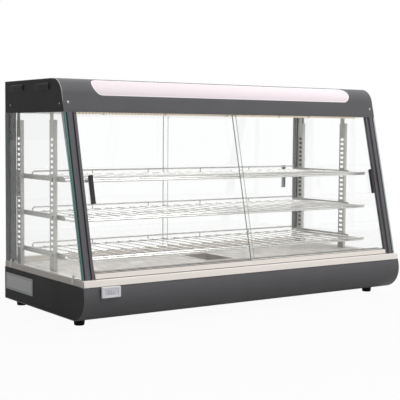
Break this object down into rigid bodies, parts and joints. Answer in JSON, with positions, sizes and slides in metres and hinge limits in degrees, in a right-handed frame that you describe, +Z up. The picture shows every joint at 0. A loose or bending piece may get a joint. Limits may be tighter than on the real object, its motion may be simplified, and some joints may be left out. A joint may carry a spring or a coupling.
{
  "type": "heated display case",
  "caption": "Heated counter display case with a leaning glass front, sliding doors front and rear, wire shelves on slotted uprights, a lit hood and a round-nosed base.",
  "frame": {"origin": "centre of the bounding box in X and Y, on the surface that the feet stand on", "axes": "+X to the right seen from the leaning front, +Y towards the rear doors, +Z up"},
  "size_m": [1.2, 0.5516, 0.696],
  "materials": {
    "charcoal": "satin charcoal powder coat",
    "black_panel": "satin near-black powder coat",
    "stainless": "fine brushed",
    "upright_steel": "satin",
    "post_metal": "satin warm grey",
    "galvanised": "dull zinc coated",
    "bright_wire": "bright plated",
    "rubber": "matt black",
    "black_plastic": "moulded black",
    "grey_plastic": "moulded light grey",
    "white_plastic": "moulded white",
    "diffuser": "milky, slightly pink",
    "display": "lavender-grey display",
    "amber_lens": "amber lens",
    "heater_steel": "heat-darkened sheath",
    "liner_white": "light liner enamel",
    "glass": "clear float glass, green edge"
  },
  "bodies": {
    "case": {"base_bottom_pan": "galvanised", "thermostat_body": "galvanised", "base_front_panel": "charcoal", "base_rear_panel": "charcoal", "hood_shell": "charcoal", "base_left_panel": "black_panel", "base_right_panel": "black_panel", "ledge_frame": "stainless", "deck_plate": "stainless", "front_lower_track": "stainless", "front_upper_track": "stainless", "rear_lower_track": "stainless", "rear_upper_track": "stainless", "foot_front_left": "rubber", "foot_front_right": "rubber", "foot_rear_left": "rubber", "foot_rear_right": "rubber", "thermometer_case": "white_plastic", "terminal_block": "white_plastic", "led_strip": "white_plastic", "thermometer_screen": "display", "heating_element": "heater_steel", "heat_switch_body": "black_plastic", "light_switch_body": "black_plastic", "cable_gland": "black_plastic", "pilot_lamp": "amber_lens", "front_post_left": "post_metal", "front_post_right": "post_metal", "rear_post_left": "post_metal", "rear_post_right": "post_metal", "side_glass_left": "glass", "side_glass_right": "glass", "rear_upright_left": "upright_steel", "front_upright_left": "upright_steel", "bracket_lower_left": "upright_steel", "bracket_middle_left": "upright_steel", "bracket_upper_left": "upright_steel", "rear_upright_right": "upright_steel", "front_upright_right": "upright_steel", "bracket_lower_right": "upright_steel", "bracket_middle_right": "upright_steel", "bracket_upper_right": "upright_steel", "shelf_lower": "bright_wire", "shelf_middle": "bright_wire", "shelf_upper": "bright_wire", "light_window": "diffuser", "lamp_tube": "diffuser", "hood_ceiling": "liner_white"},
    "water_tray": {"water_tray": "stainless"},
    "thermostat_knob": {"thermostat_knob": "black_plastic"},
    "heat_rocker": {"heat_switch_rocker": "black_plastic"},
    "light_rocker": {"light_switch_rocker": "black_plastic"},
    "front_left_door": {"front_door_left": "glass", "front_pull_left": "black_plastic"},
    "front_right_door": {"front_door_right": "glass", "front_pull_right": "black_plastic"},
    "rear_left_door": {"rear_door_left": "glass", "rear_pull_left": "grey_plastic"},
    "rear_right_door": {"rear_door_right": "glass", "rear_pull_right": "grey_plastic"}
  },
  "joints": [
    {"name": "front_left_door_slide", "type": "slide", "parent": "case", "child": "front_left_door", "axis": [1, 0, 0], "range_m": [0, 0.53]},
    {"name": "front_right_door_slide", "type": "slide", "parent": "case", "child": "front_right_door", "axis": [1, 0, 0], "range_m": [-0.53, 0]},
    {"name": "rear_left_door_slide", "type": "slide", "parent": "case", "child": "rear_left_door", "axis": [1, 0, 0], "range_m": [0, 0.53]},
    {"name": "rear_right_door_slide", "type": "slide", "parent": "case", "child": "rear_right_door", "axis": [1, 0, 0], "range_m": [-0.53, 0]},
    {"name": "thermostat_turn", "type": "hinge", "parent": "case", "child": "thermostat_knob", "pos_m": [-0.3, 0.25625, 0.0725], "axis": [0, 1, 0], "range_deg": [0, 270]},
    {"name": "heat_rocker_tilt", "type": "hinge", "parent": "case", "child": "heat_rocker", "pos_m": [-0.42, 0.25705, 0.0725], "axis": [1, 0, 0], "range_deg": [-16, 0]},
    {"name": "light_rocker_tilt", "type": "hinge", "parent": "case", "child": "light_rocker", "pos_m": [-0.37, 0.25705, 0.0725], "axis": [1, 0, 0], "range_deg": [-16, 0]},
    {"name": "water_tray_lift", "type": "slide", "parent": "case", "child": "water_tray", "axis": [0, 0, 1], "range_m": [0, 0.03]}
  ]
}
